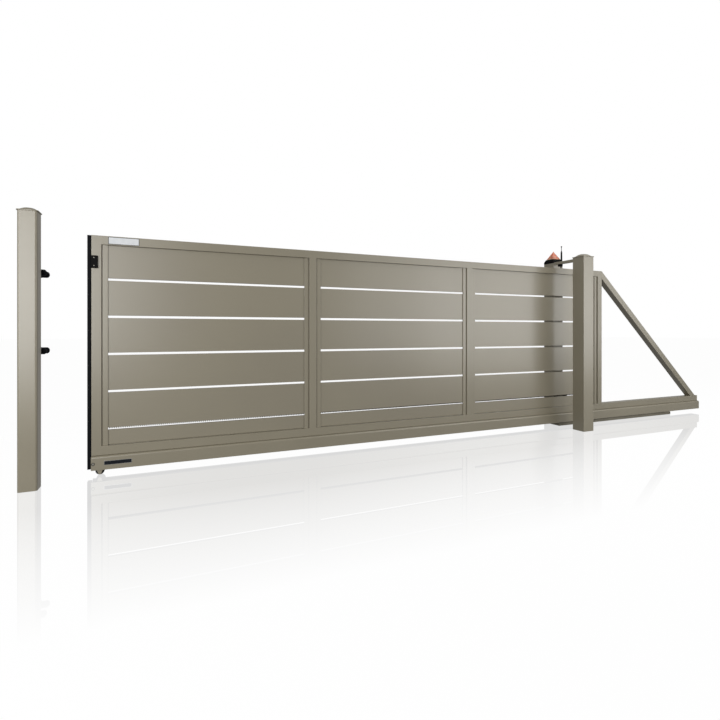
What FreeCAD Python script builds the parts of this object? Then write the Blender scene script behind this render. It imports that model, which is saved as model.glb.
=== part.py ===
import FreeCAD, Part
import math
import os
import re

# Sliding driveway gate: a cantilever leaf that rolls over two carriages, passes
# through a portal of two posts and closes into two forks on a catch post. A pinion
# at the rear post drives the rack on the leaf's back.
# Millimetres. X runs along the gate from the catch post to the tail, Y from the
# street side to the drive side, and Z is up. The origin is the middle of the foot
# of the front guide post.

doc = FreeCAD.newDocument("SlidingGate")
sheet = doc.addObject("Spreadsheet::Sheet", "Sizes")

# Measured sizes are numbers. A size that follows from others is a formula.
SIZES = [
    # Posts
    ("guide_post_side", "120"),
    ("catch_post_side", "95"),
    ("post_wall", "4"),
    ("foot_plate", "10"),
    ("post_height", "1556"),
    ("catch_post_height", "=post_height + 6"),
    ("cap_overhang", "5"),
    ("cap_rim", "5"),
    ("cap_rise", "24"),
    ("clear_opening", "4064"),
    ("catch_post_front", "33"),
    ("drive_post_left", "-20"),
    ("drive_post_front", "323"),
    ("guide_post_half", "=guide_post_side / 2"),
    ("catch_post_left", "=-guide_post_half - clear_opening - catch_post_side"),
    ("catch_post_back", "=catch_post_front + catch_post_side"),
    # Leaf frame
    ("leaf_front", "216"),
    ("frame_depth", "60"),
    ("frame_face", "55"),
    ("frame_wall", "3"),
    ("head_gap", "23"),
    ("bay_width", "1337"),
    ("last_bay_width", "1492"),
    ("open_distance", "238"),
    ("tail_length", "1477"),
    ("leaf_top", "=bridge_base - carrier_height - head_gap"),
    ("leaf_back", "=leaf_front + frame_depth"),
    ("leaf_middle", "=leaf_front + frame_depth / 2"),
    ("leaf_start", "=-guide_post_half - clear_opening + open_distance"),
    ("leaf_length", "=4 * frame_face + 2 * bay_width + last_bay_width"),
    ("bay_pitch", "=frame_face + bay_width"),
    ("end_stile_left", "=leaf_start + leaf_length - frame_face"),
    # Carrying rail
    ("rail_side", "85"),
    ("rail_wall", "5"),
    ("rail_round", "12"),
    ("rail_slot", "30"),
    ("rail_base", "34"),
    ("rail_lead", "15.5"),
    ("rail_front", "=leaf_front - rail_lead"),
    ("rail_middle", "=rail_front + rail_side / 2"),
    ("rail_length", "=leaf_length + tail_length + 7"),
    ("bottom_rail_face", "59"),
    ("bottom_rail_base", "=rail_base + rail_side"),
    ("bay_base", "=bottom_rail_base + bottom_rail_face"),
    ("bay_top", "=leaf_top - frame_face"),
    ("bay_height", "=bay_top - bay_base"),
    ("end_plate", "4"),
    # Groove of the top rail and its guide roller
    ("groove_width", "30"),
    ("groove_depth", "28"),
    ("groove_lip", "=(frame_depth - groove_width) / 2"),
    ("guide_roller_radius", "13"),
    ("guide_roller_height", "18"),
    ("guide_axle_radius", "5"),
    ("seat_gap", "0.3"),
    # Bridge between the guide post and the drive post
    ("bridge_width", "40"),
    ("bridge_height", "24"),
    ("bridge_wall", "3"),
    ("bridge_top", "=post_height - 3"),
    ("bridge_base", "=bridge_top - bridge_height"),
    ("carrier_width", "30"),
    ("carrier_depth", "34"),
    ("carrier_height", "22"),
    ("carrier_lead", "9"),
    # Infill boards and beads
    ("board_height", "219"),
    ("board_gap", "15"),
    ("board_depth", "20"),
    ("board_wall", "2"),
    ("board_setback", "17"),
    ("lowest_board", "94.5"),
    ("board_pitch", "=board_height + board_gap"),
    ("bead_width", "35"),
    ("bead_groove", "9"),
    ("bead_setback", "9"),
    ("bead_depth", "=frame_depth - 2 * bead_setback"),
    # Safety edge
    ("strip_depth", "42"),
    ("strip_thickness", "25"),
    ("holder_depth", "26"),
    ("holder_thickness", "8"),
    ("strip_foot", "4"),
    ("strip_height", "=leaf_top - rail_base - strip_foot"),
    ("edge_box_width", "37"),
    ("edge_box_depth", "14"),
    ("edge_box_height", "77"),
    ("edge_box_drop", "203"),
    ("edge_box_base", "=leaf_top - edge_box_drop"),
    # Rack and pinion, of one module
    ("gear_module", "4"),
    ("pinion_teeth", "18"),
    ("rack_tip", "272"),
    ("rack_depth", "20"),
    ("rack_body", "20"),
    ("rack_margin", "25"),
    ("gear_play", "0.5"),
    ("pinion_depth", "16"),
    ("pinion_setback", "5"),
    ("pinion_place", "30"),
    ("shaft_radius", "9"),
    ("tooth_height", "=2.25 * gear_module"),
    ("pitch_radius", "=gear_module * pinion_teeth / 2"),
    ("pinion_height", "=rack_tip + gear_module - pitch_radius - gear_play"),
    ("housing_left", "-17"),
    ("housing_width", "151"),
    ("housing_height", "170"),
    ("housing_depth", "22"),
    ("housing_top", "290"),
    # Roller at the leading end of the carrying rail
    ("end_wheel_radius", "25"),
    ("end_wheel_lift", "5"),
    ("end_wheel_place", "47"),
    ("end_cheek_radius", "16"),
    ("end_cheek_wall", "4"),
    ("end_axle_radius", "6"),
    ("end_notch", "90"),
    ("running_gap", "2"),
    ("rail_hollow", "=rail_side - 2 * rail_wall"),
    ("end_wheel_width", "=rail_hollow - 2 * end_cheek_wall - 2 * running_gap"),
    ("end_wheel_height", "=end_wheel_radius + end_wheel_lift"),
    # Tray on the ground and its two carriages
    ("tray_length", "1591"),
    ("tray_height", "27"),
    ("tray_wall", "4"),
    ("tray_depth", "=drive_post_front - leaf_front"),
    ("carriage_inset", "150"),
    ("carriage_front_place", "=carriage_inset - guide_post_half"),
    ("carriage_rear_place", "=tray_length - guide_post_half - carriage_inset"),
    ("carriage_wheel_radius", "34"),
    ("carriage_wheel_width", "20"),
    ("carriage_axle_radius", "7"),
    ("carriage_half_base", "48"),
    ("neck_width", "20"),
    ("neck_length", "170"),
    ("carriage_axle_height", "=rail_base + rail_wall + 1 + carriage_wheel_radius"),
    # Forks on the catch post
    ("prong_radius", "19"),
    ("near_prong", "190"),
    ("far_prong", "300"),
    ("near_tip", "-4125"),
    ("far_tip", "-4133"),
    ("fork_arm_left", "-4210"),
    ("fork_arm_width", "48"),
    ("prong_nose", "15"),
    ("prong_tip_radius", "11"),
    ("upper_fork_drop", "248"),
    ("lower_fork_drop", "710"),
    ("upper_fork", "=leaf_top - upper_fork_drop"),
    ("lower_fork", "=leaf_top - lower_fork_drop"),
    # Lamp and antenna
    ("lamp_band", "10"),
    ("lamp_slope", "24"),
    ("lens_side", "96"),
    ("lens_height", "81"),
    ("antenna_inset", "7"),
    ("antenna_sleeve_radius", "6"),
    ("antenna_sleeve", "104"),
    ("antenna_rod_radius", "2"),
    ("antenna_rod", "46"),
    ("antenna_tip_radius", "5"),
]
NAMES = {name for name, _ in SIZES}
for row, (name, text) in enumerate(SIZES, start=1):
    sheet.set("A%d" % row, name)
    sheet.set("B%d" % row, text)
    sheet.setAlias("B%d" % row, name)
doc.recompute()

parts = []


def size(name):
    """Return the number held by a named cell."""
    return float(sheet.get(name))


def bind(obj, prop, text):
    """Drive a property by an expression of named cells."""
    formula = re.sub(r"[a-z][a-z0-9_]*", lambda m: "Sizes." + m.group(0) if m.group(0) in NAMES else m.group(0), text)
    obj.setExpression(prop, formula)


def place(obj, x="0", y="0", z="0"):
    """Set the place of a shape along the three axes."""
    for axis, text in zip("xyz", (x, y, z)):
        bind(obj, "Placement.Base." + axis, text)
    return obj


def part(obj, label, x="0", y="0", z="0"):
    """Name a finished sub-part and set its place in the gate."""
    obj.Label = label
    parts.append(obj)
    return place(obj, x, y, z)


def box(length, width, height, x="0", y="0", z="0"):
    """Make a block from its near lower left corner."""
    obj = doc.addObject("Part::Box", "Box")
    bind(obj, "Length", length)
    bind(obj, "Width", width)
    bind(obj, "Height", height)
    return place(obj, x, y, z)


TURNS = {"X": (FreeCAD.Vector(0, 1, 0), 90), "Y": (FreeCAD.Vector(1, 0, 0), -90), "Z": (FreeCAD.Vector(0, 0, 1), 0)}


def rod(radius, length, axis, x="0", y="0", z="0"):
    """Make a round bar that runs along an axis from its start point."""
    obj = doc.addObject("Part::Cylinder", "Rod")
    bind(obj, "Radius", radius)
    bind(obj, "Height", length)
    direction, angle = TURNS[axis]
    obj.Placement = FreeCAD.Placement(FreeCAD.Vector(), FreeCAD.Rotation(direction, angle))
    return place(obj, x, y, z)


def cut(base, *tools):
    """Take each tool away from the base."""
    for tool in tools:
        obj = doc.addObject("Part::Cut", "Cut")
        obj.Base = base
        obj.Tool = tool
        base = obj
    return base


def fuse(*shapes):
    obj = doc.addObject("Part::MultiFuse", "Fuse")
    obj.Shapes = list(shapes)
    obj.Refine = True
    return obj


def group(*shapes):
    """Keep separate solids together in one sub-part."""
    obj = doc.addObject("Part::Compound", "Group")
    obj.Links = list(shapes)
    return obj


def cone(base_radius, tip_radius, length, x="0", y="0", z="0"):
    """Make a blunt cone that points along X."""
    obj = doc.addObject("Part::Cone", "Nose")
    bind(obj, "Radius1", base_radius)
    bind(obj, "Radius2", tip_radius)
    bind(obj, "Height", length)
    direction, angle = TURNS["X"]
    obj.Placement = FreeCAD.Placement(FreeCAD.Vector(), FreeCAD.Rotation(direction, angle))
    return place(obj, x, y, z)


def common(first, second):
    obj = doc.addObject("Part::Common", "Common")
    obj.Base = first
    obj.Tool = second
    return obj


def prism(points, depth, x="0", y="0", z="0"):
    """Extrude a closed outline of the XZ plane along Y."""
    outline = doc.addObject("Part::Polygon", "Outline")
    outline.Nodes = [FreeCAD.Vector(px, 0, pz) for px, pz in points]
    outline.Close = True
    obj = doc.addObject("Part::Extrusion", "Prism")
    obj.Base = outline
    obj.DirMode = "Custom"
    obj.Dir = FreeCAD.Vector(0, 1, 0)
    obj.Solid = True
    bind(obj, "LengthFwd", depth)
    return place(obj, x, y, z)


def tube_x(length, depth, height, wall):
    """Make a rectangular tube along X."""
    hollow = box(length, "%s - 2 * %s" % (depth, wall), "%s - 2 * %s" % (height, wall), "0", wall, wall)
    return cut(box(length, depth, height), hollow)


def tube_z(width, depth, height, wall):
    """Make an upright rectangular tube."""
    hollow = box("%s - 2 * %s" % (width, wall), "%s - 2 * %s" % (depth, wall), height, wall, wall)
    return cut(box(width, depth, height), hollow)


def round_edges(base, radius, wanted):
    """Round the edges of a block whose middle point is wanted."""
    doc.recompute()
    obj = doc.addObject("Part::Fillet", "Rounded")
    obj.Base = base
    middles = [(index, edge.CenterOfMass) for index, edge in enumerate(base.Shape.Edges, start=1)]
    obj.Edges = [(index, size(radius), size(radius)) for index, middle in middles if wanted(middle)]
    return obj


# Posts with their foot plates and domed caps
for name, side, tall, left, front in (
        ("guide_post", "guide_post_side", "post_height", "-guide_post_half", "-guide_post_half"),
        ("drive_post", "guide_post_side", "post_height", "drive_post_left", "drive_post_front"),
        ("catch_post", "catch_post_side", "catch_post_height", "catch_post_left", "catch_post_front")):
    shaft = tube_z(side, side, tall, "post_wall")
    part(fuse(shaft, box(side, side, "foot_plate")), name, left, front)
    if name != "drive_post":
        rim_side = side + " + 2 * cap_overhang"
        half = "(%s / 2)" % side
        crown_radius = "((%s * %s + cap_rise * cap_rise) / (2 * cap_rise))" % (half, half)
        crown_place = "cap_rim + cap_rise - " + crown_radius
        rim = box(rim_side, rim_side, "cap_rim")
        crown = common(common(rod(crown_radius, side, "X", "cap_overhang", half + " + cap_overhang", crown_place),
                              rod(crown_radius, side, "Y", half + " + cap_overhang", "cap_overhang", crown_place)),
                       box(side, side, "cap_rise + 1", "cap_overhang", "cap_overhang", "cap_rim - 1"))
        part(fuse(rim, crown), name + "_cap", left + " - cap_overhang", front + " - cap_overhang", tall)

# Bridge over the leaf, with the carrier of the guide roller under it
part(cut(box("bridge_width", "drive_post_front - guide_post_half", "bridge_height"),
         box("bridge_width - 2 * bridge_wall", "drive_post_front - guide_post_half", "bridge_height - 2 * bridge_wall",
             "bridge_wall", "0", "bridge_wall")),
     "bridge_bar", "drive_post_left", "guide_post_half", "bridge_base")
roller_place = "drive_post_left + carrier_width / 2"
part(box("carrier_width", "carrier_depth", "carrier_height"), "guide_roller_carrier",
     "drive_post_left", "leaf_middle - carrier_lead",
     "bridge_base - carrier_height")
roller_base = "leaf_top - groove_depth + 4"
part(fuse(rod("guide_roller_radius", "guide_roller_height", "Z"),
          rod("guide_axle_radius", "bridge_base - carrier_height - seat_gap - leaf_top + groove_depth - 4", "Z")),
     "guide_roller", roller_place, "leaf_middle", roller_base)

# Leaf frame
part(tube_x("leaf_length + tail_length", "frame_depth", "bottom_rail_face", "frame_wall"), "bottom_rail",
     "leaf_start", "leaf_front", "bottom_rail_base")
part(tube_x("leaf_length", "frame_depth", "frame_face - groove_depth", "frame_wall"), "top_rail",
     "leaf_start", "leaf_front", "bay_top")
part(group(tube_x("leaf_length", "groove_lip", "groove_depth", "frame_wall"),
           place(tube_x("leaf_length", "groove_lip", "groove_depth", "frame_wall"), "0", "frame_depth - groove_lip")),
     "top_rail_guides", "leaf_start", "leaf_front", "leaf_top - groove_depth")
for name, left in (("leading_stile", "leaf_start"), ("mid_stile_1", "leaf_start + bay_pitch"),
                   ("mid_stile_2", "leaf_start + 2 * bay_pitch"), ("end_stile", "end_stile_left")):
    part(tube_z("frame_face", "frame_depth", "bay_height", "frame_wall"), name, left, "leaf_front", "bay_base")

# Carrying rail: a square channel with rounded upper edges, open along its underside.
# Its walls are solids of their own, so that the channel stays open for the carriages.
rail_block = round_edges(box("rail_length", "rail_side", "rail_side"), "rail_round",
                         lambda m: m.z > size("rail_side") - 1 and abs(m.x - size("rail_length") / 2) < 1)
wall_height = "rail_side - rail_wall"
rail_lip = "(rail_side - rail_slot) / 2 - rail_wall"
part(group(common(rail_block, box("rail_length", "rail_side", "rail_wall", "0", "0", wall_height)),
           common(rail_block, box("rail_length", "rail_wall", wall_height)),
           common(rail_block, box("rail_length", "rail_wall", wall_height, "0", wall_height)),
           box("rail_length - end_notch", rail_lip, "rail_wall", "end_notch", "rail_wall"),
           box("rail_length - end_notch", rail_lip, "rail_wall", "end_notch", "(rail_side + rail_slot) / 2")),
     "carrying_rail", "leaf_start", "rail_front", "rail_base")
part(round_edges(box("end_plate + 1", "rail_side", "rail_side"), "rail_round", lambda m: m.z > size("rail_side") - 1
                 and abs(m.x - (size("end_plate") + 1) / 2) < 0.1), "rail_end_cap",
     "leaf_start + rail_length", "rail_front", "rail_base")
part(box("end_plate", "frame_depth", "bottom_rail_face"), "tail_rail_cap",
     "leaf_start + leaf_length + tail_length", "leaf_front", "bottom_rail_base")

# Infill of each bay: flat hollow boards with narrow gaps, held by a bead at either side
levels = [(0.0, size("lowest_board"))]
while levels[-1][1] + size("board_gap") < size("bay_height") - size("board_gap"):
    low = levels[-1][1] + size("board_gap")
    levels.append((low, min(low + size("board_height"), size("bay_height"))))
for number, width, left in ((1, "bay_width", "leaf_start + frame_face"),
                            (2, "bay_width", "leaf_start + frame_face + bay_pitch"),
                            (3, "last_bay_width", "leaf_start + frame_face + 2 * bay_pitch")):
    pieces = []
    for side, groove_at in (("0", "0"), (width + " - bead_width", width + " - bead_groove")):
        bead = box("bead_width", "bead_depth", "bay_height", side)
        pieces.append(cut(bead, box("bead_groove", "board_setback", "bay_height", groove_at)))
    for low, high in levels:
        length = width + " - 2 * bead_width + 8"
        board = tube_x(length, "board_depth", "%s" % (high - low), "board_wall")
        pieces.append(place(board, "bead_width - 4", "board_setback - bead_setback", "%s" % low))
    part(fuse(*pieces), "infill_bay_%d" % number, left, "leaf_front + bead_setback", "bay_base")

# Brace from the top of the end stile down to the tail
rise = size("leaf_top") - size("bay_base")
run = size("tail_length") - 33
angle = math.atan2(rise, run)
drop = size("frame_face") / math.cos(angle)
reach = size("frame_face") / math.sin(angle)
wall_drop = size("frame_wall") / math.cos(angle)
wall_reach = size("frame_wall") / math.sin(angle)
shell = prism([(0, rise), (0, rise - drop), (run - reach, 0), (run, 0)], "frame_depth")
hollow = prism([(0, rise - wall_drop), (0, rise - drop + wall_drop), (run - reach + wall_reach, 0),
                (run - wall_reach, 0)], "frame_depth - 2 * frame_wall", "0", "frame_wall")
part(cut(shell, hollow), "brace", "end_stile_left + frame_face", "leaf_front", "bay_base")

# Safety edge: a rubber strip clipped on a holder along the leading stile
part(box("holder_thickness", "holder_depth", "strip_height"), "edge_strip_holder",
     "leaf_start - holder_thickness", "leaf_middle - holder_depth / 2", "rail_base + strip_foot")
part(cut(box("strip_thickness", "strip_depth", "strip_height"),
         box("holder_thickness", "holder_depth", "strip_height", "strip_thickness - holder_thickness",
             "(strip_depth - holder_depth) / 2")),
     "edge_strip", "leaf_start - strip_thickness", "leaf_middle - strip_depth / 2", "rail_base + strip_foot")
part(box("edge_box_width", "edge_box_depth", "edge_box_height"), "edge_sensor_box",
     "leaf_start - 1", "leaf_front - edge_box_depth", "edge_box_base")

# Rack along the back of the leaf, teeth down
module = size("gear_module")
pressure = math.radians(20)
tooth_pitch = math.pi * module
tooth_height = size("tooth_height")
rack_length = size("leaf_length") - 2 * size("rack_margin")
tooth_count = int(rack_length // tooth_pitch)
half_tip = tooth_pitch / 4 - module * math.tan(pressure) - size("gear_play") / 2
half_root = half_tip + tooth_height * math.tan(pressure)
points = [(0, tooth_height + size("rack_body")), (0, tooth_height)]
for number in range(tooth_count):
    middle = (number + 0.5) * tooth_pitch
    points += [(middle - half_root, tooth_height), (middle - half_tip, 0), (middle + half_tip, 0),
               (middle + half_root, tooth_height)]
points += [(tooth_count * tooth_pitch, tooth_height), (tooth_count * tooth_pitch, tooth_height + size("rack_body"))]
part(prism(points, "rack_depth"), "rack", "leaf_start + rack_margin", "leaf_back", "rack_tip")

# Pinion that meets the rack from below: involute teeth, one of them in a rack space
teeth = int(size("pinion_teeth"))
pitch_radius = size("pitch_radius")
base_radius = pitch_radius * math.cos(pressure)
tip_radius = pitch_radius + module
root_radius = pitch_radius - 1.25 * module


def involute(radius):
    """Return the angle by which the flank has turned at a radius."""
    roll = math.sqrt((radius / base_radius) ** 2 - 1)
    return roll - math.atan(roll)


half_tooth = math.pi / (2 * teeth) - size("gear_play") / (2 * pitch_radius) + involute(pitch_radius)
flank = [(root_radius, half_tooth + 0.01)]
for step in range(4):
    radius = base_radius + (tip_radius - base_radius) * step / 3
    flank.append((radius, half_tooth - involute(radius)))
space_offset = ((size("pinion_place") - size("leaf_start") - size("rack_margin")) / tooth_pitch) % 1
first_tooth = math.pi / 2 + space_offset * tooth_pitch / pitch_radius
outline = []
for number in range(teeth):
    middle = first_tooth + 2 * math.pi * number / teeth
    tooth = [(radius, middle - half) for radius, half in flank]
    tooth += [(radius, middle + half) for radius, half in reversed(flank)]
    outline += [(radius * math.cos(turn), radius * math.sin(turn)) for radius, turn in tooth]
housing_front = "drive_post_front - housing_depth"
part(fuse(prism(outline, "pinion_depth"),
          rod("shaft_radius", "%s - leaf_back - pinion_setback + 16" % housing_front, "Y")),
     "pinion", "pinion_place", "leaf_back + pinion_setback", "pinion_height")
part(cut(box("housing_width", "housing_depth", "housing_height"),
         rod("shaft_radius + seat_gap", "18", "Y", "pinion_place - housing_left", "-1",
             "pinion_height - housing_top + housing_height")),
     "drive_housing", "housing_left", housing_front, "housing_top - housing_height")

# Roller at the leading end of the carrying rail, between two rounded cheeks
wheel = "end_wheel_width"
part(cut(rod("end_wheel_radius", wheel, "Y", "0", "-end_wheel_width / 2"),
         rod("end_axle_radius + seat_gap", wheel, "Y", "0", "-end_wheel_width / 2")), "end_roller",
     "leaf_start + end_wheel_place", "rail_middle", "end_wheel_height")
cheek_height = "rail_base + rail_side - rail_wall - end_wheel_height"
pieces = [rod("end_axle_radius", "rail_hollow", "Y", "0", "-rail_hollow / 2")]
for side in ("-rail_hollow / 2", "rail_hollow / 2 - end_cheek_wall"):
    pieces.append(rod("end_cheek_radius", "end_cheek_wall", "Y", "0", side))
    pieces.append(box("2 * end_cheek_radius", "end_cheek_wall", cheek_height, "-end_cheek_radius", side))
pieces.append(box("2 * end_cheek_radius", "rail_hollow", "end_cheek_wall", "-end_cheek_radius", "-rail_hollow / 2",
                  cheek_height + " - end_cheek_wall"))
part(fuse(*pieces), "end_roller_bracket", "leaf_start + end_wheel_place", "rail_middle", "end_wheel_height")

# Tray on the ground and the two carriages that the rail runs over
part(cut(box("tray_length", "tray_depth", "tray_height"),
         box("tray_length - 2 * tray_wall", "tray_depth - 2 * tray_wall", "tray_height - tray_wall",
             "tray_wall", "tray_wall")),
     "base_tray", "-guide_post_half", "leaf_front")
necks = []
wheel_pairs = []
for at in ("carriage_front_place", "carriage_rear_place"):
    neck = box("neck_length", "neck_width", "carriage_axle_height + 18 - tray_height", at + " - neck_length / 2",
               "-neck_width / 2")
    axles = [at + " - carriage_half_base", at + " + carriage_half_base"]
    necks.append(cut(neck, *[rod("carriage_axle_radius + seat_gap", "neck_width", "Y", axle, "-neck_width / 2",
                                 "carriage_axle_height - tray_height") for axle in axles]))
    for axle in axles:
        wheel_pairs.append(fuse(
            rod("carriage_axle_radius", "neck_width + 2 * running_gap + 2 * carriage_wheel_width", "Y", axle,
                "-neck_width / 2 - running_gap - carriage_wheel_width"),
            rod("carriage_wheel_radius", "carriage_wheel_width", "Y", axle,
                "-neck_width / 2 - running_gap - carriage_wheel_width"),
            rod("carriage_wheel_radius", "carriage_wheel_width", "Y", axle, "neck_width / 2 + running_gap")))
part(group(*necks), "carriages", "0", "rail_middle", "tray_height")
part(group(*wheel_pairs), "carriage_wheels", "0", "rail_middle", "carriage_axle_height")

# Forks behind the catch post: an arm with two round-nosed prongs that take the leaf between them
for name in ("upper", "lower"):
    pieces = [box("fork_arm_width", "far_prong + prong_radius - catch_post_back", "2 * prong_radius", "0", "0",
                  "-prong_radius")]
    for along, tip in (("near_prong", "near_tip"), ("far_prong", "far_tip")):
        across = along + " - catch_post_back"
        pieces.append(rod("prong_radius", tip + " - fork_arm_left", "X", "0", across))
        pieces.append(cone("prong_radius", "prong_tip_radius", "prong_nose", tip + " - fork_arm_left", across))
    part(fuse(*pieces), "catch_fork_" + name, "fork_arm_left", "catch_post_back", name + "_fork")

# Lamp on the drive post: a flat base, a pyramid lens and an antenna
side = size("guide_post_side")
inset = (side - size("lens_side")) / 2
lens_half = size("lens_side") / 2
taper = doc.addObject("Part::Wedge", "Taper")
lens = doc.addObject("Part::Wedge", "Pyramid")
for obj, low, high, top_low, top_high, tall in ((taper, 0, side, inset, side - inset, size("lamp_slope")),
                                                (lens, 0, 2 * lens_half, lens_half - 1, lens_half + 1,
                                                 size("lens_height"))):
    obj.Xmin, obj.Xmax, obj.Zmin, obj.Zmax = low, high, low, high
    obj.X2min, obj.X2max, obj.Z2min, obj.Z2max = top_low, top_high, top_low, top_high
    obj.Ymin, obj.Ymax = 0, tall
    obj.Placement.Rotation = FreeCAD.Rotation(FreeCAD.Vector(1, 0, 0), 90)
place(taper, "0", "guide_post_side", "lamp_band")
antenna_left = "guide_post_side - antenna_inset"
part(cut(fuse(box("guide_post_side", "guide_post_side", "lamp_band"), taper),
         rod("antenna_sleeve_radius + seat_gap", "lamp_slope + 1", "Z", antenna_left, "antenna_inset", "lamp_band")),
     "lamp_base", "drive_post_left", "drive_post_front", "post_height")
part(lens, "lamp_lens", "drive_post_left + (guide_post_side - lens_side) / 2",
     "drive_post_front + (guide_post_side + lens_side) / 2", "post_height + lamp_band + lamp_slope")
part(fuse(rod("antenna_sleeve_radius", "antenna_sleeve", "Z"),
          rod("antenna_rod_radius", "antenna_rod", "Z", "0", "0", "antenna_sleeve"),
          rod("antenna_tip_radius", "2 * antenna_tip_radius", "Z", "0", "0",
              "antenna_sleeve + antenna_rod - antenna_tip_radius")),
     "antenna", "drive_post_left + " + antenna_left, "drive_post_front + antenna_inset", "post_height + lamp_band")

doc.recompute()
os.makedirs("parts", exist_ok=True)
for obj in doc.Objects:
    if "Invalid" in obj.State or "Error" in obj.State:
        raise RuntimeError("%s did not rebuild: %s" % (obj.Label, obj.State))
for obj in parts:
    if obj.Shape.isNull() or not obj.Shape.isValid():
        raise RuntimeError("%s has no valid shape" % obj.Label)
    obj.Shape.exportStep("parts/%s.step" % obj.Label)
print("parts written:", len(parts))
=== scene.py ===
"""Sliding driveway gate: finished pieces, finishes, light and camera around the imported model."""

import logging
import math
from dataclasses import dataclass
from enum import Enum

import bmesh
import bpy
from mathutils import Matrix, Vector


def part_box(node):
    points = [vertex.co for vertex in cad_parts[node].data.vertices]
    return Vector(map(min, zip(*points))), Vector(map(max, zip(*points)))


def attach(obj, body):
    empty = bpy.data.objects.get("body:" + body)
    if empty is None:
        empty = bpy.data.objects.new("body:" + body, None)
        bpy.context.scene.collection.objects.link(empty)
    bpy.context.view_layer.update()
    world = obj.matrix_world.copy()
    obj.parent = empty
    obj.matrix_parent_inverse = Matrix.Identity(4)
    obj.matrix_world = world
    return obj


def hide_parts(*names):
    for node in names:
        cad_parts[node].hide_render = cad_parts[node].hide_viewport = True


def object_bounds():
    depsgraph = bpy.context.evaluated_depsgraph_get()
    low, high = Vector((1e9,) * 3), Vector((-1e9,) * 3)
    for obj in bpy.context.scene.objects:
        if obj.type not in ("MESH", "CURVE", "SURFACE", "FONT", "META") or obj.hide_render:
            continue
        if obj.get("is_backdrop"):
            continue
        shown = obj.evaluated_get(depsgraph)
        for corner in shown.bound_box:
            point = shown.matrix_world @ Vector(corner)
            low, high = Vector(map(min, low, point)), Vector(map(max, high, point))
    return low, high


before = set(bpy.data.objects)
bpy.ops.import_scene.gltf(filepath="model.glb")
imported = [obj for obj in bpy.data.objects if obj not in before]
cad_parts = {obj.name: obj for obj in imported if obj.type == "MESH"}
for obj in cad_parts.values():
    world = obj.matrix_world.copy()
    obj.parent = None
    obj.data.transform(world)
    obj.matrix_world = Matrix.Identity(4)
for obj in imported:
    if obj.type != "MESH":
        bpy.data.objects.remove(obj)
LOG = logging.getLogger("sliding_gate")
MM = 0.001
Point = tuple[float, float]
Point3 = tuple[float, float, float]
Radii = float | tuple[float, float, float, float]
Mesh = bpy.types.Mesh
Socket = bpy.types.NodeSocket


class Axis(Enum):
    """The axis that a profile is drawn out along or turned about."""

    X = 0
    Y = 1
    Z = 2

    def place(self, along: float, first: float, second: float) -> Point3:
        """Put a distance along the axis and two across it in X, Y, Z order."""
        return ((along, first, second), (first, along, second), (first, second, along))[self.value]

    def across(self, point: Point3) -> Point:
        """Drop a point's distance along the axis."""
        return tuple(value for index, value in enumerate(point) if index != self.value)


class Slot(Enum):
    """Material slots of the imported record."""

    PAINT = "frame_paint"
    PLASTIC = "black_plastic"
    RUBBER = "black_rubber"
    STEEL = "steel"
    ALUMINIUM = "bare_aluminium"
    LENS = "amber_lens"


def linear(code: str) -> tuple[float, float, float, float]:
    """Turn an sRGB hex colour, with its hash sign, to linear red, green, blue and alpha."""
    parts = [int(code[i:i + 2], 16) / 255 for i in (1, 3, 5)]
    return tuple(p / 12.92 if p <= 0.04045 else ((p + 0.055) / 1.055) ** 2.4 for p in parts) + (1.0,)


def add_node(tree: bpy.types.NodeTree, kind: str, inputs: dict | None = None,
             **settings: object) -> bpy.types.Node:
    """Add a node, set its properties and fill or link its inputs.

    Args:
        tree: The node tree.
        kind: The node's type name.
        inputs: Values, output sockets or nodes, which give their first output, by name or number.
        **settings: Properties of the node.

    Returns:
        The new node.
    """
    node = tree.nodes.new(kind)
    for name, value in settings.items():
        setattr(node, name, value)
    for name, value in (inputs or {}).items():
        socket = node.inputs[name]
        if isinstance(value, bpy.types.Node):
            value = next(output for output in value.outputs if output.enabled)
        if isinstance(value, Socket):
            tree.links.new(value, socket)
        else:
            socket.default_value = value
    return node


# Values of noise and of bend that are spread over the full range in every finish, low end first.
SPECK_SPAN = (0.2, 0.8)
CLOUD_SPAN = (0.38, 0.62)
BREAK_SPAN = (0.35, 0.6)
EDGE_SPAN = (0.98, 0.8)


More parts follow.
